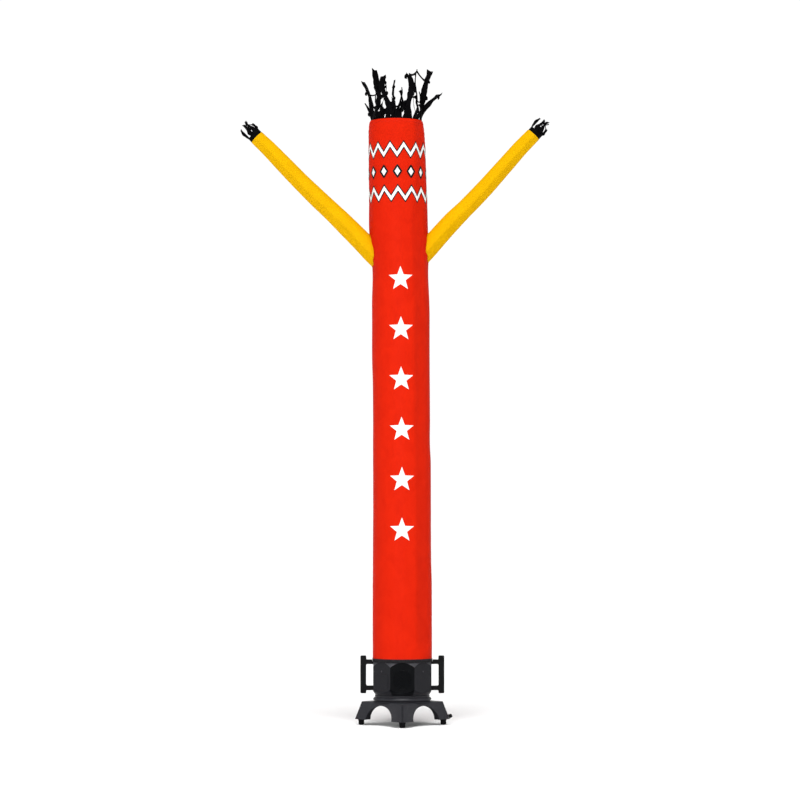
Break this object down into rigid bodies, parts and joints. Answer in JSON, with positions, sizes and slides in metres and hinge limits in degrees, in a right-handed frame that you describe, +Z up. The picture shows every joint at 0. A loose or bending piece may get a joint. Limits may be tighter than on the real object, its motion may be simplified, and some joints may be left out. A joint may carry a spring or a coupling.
{
  "type": "inflatable air dancer and blower",
  "caption": "Tall red cloth tube with yellow sleeves for arms and black strip hair, held up by air and strapped to an eight-sided blower on a four-legged base.",
  "frame": {"origin": "on the ground, under the middle of the object's bounds; the blower's axis stands at X 0.057", "axes": "+Z up, the front looks along -Y, the arms reach along -X and +X"},
  "size_m": [2.3917, 0.7274, 5.0657],
  "materials": {
    "red_cloth": "light ripstop nylon, faint sheen",
    "yellow_cloth": "light ripstop nylon, faint sheen",
    "black_cloth": "light ripstop nylon strips",
    "strap": "woven webbing",
    "blower_plastic": "moulded, fine texture",
    "handle_plastic": "moulded, satin",
    "foot_rubber": "matt"
  },
  "bodies": {
    "root": {"body_tube": "red_cloth", "arm_left": "yellow_cloth", "arm_right": "yellow_cloth", "hair_fringe": "black_cloth", "hand_fringe_left": "black_cloth", "hand_fringe_right": "black_cloth", "base_strap": "strap", "blower_housing": "blower_plastic", "neck_ring": "blower_plastic", "leg_base": "blower_plastic", "handle_left": "handle_plastic", "handle_right": "handle_plastic", "foot_right": "foot_rubber", "foot_back": "foot_rubber", "foot_left": "foot_rubber", "foot_front": "foot_rubber", "cord_inlet": "foot_rubber"}
  },
  "joints": []
}
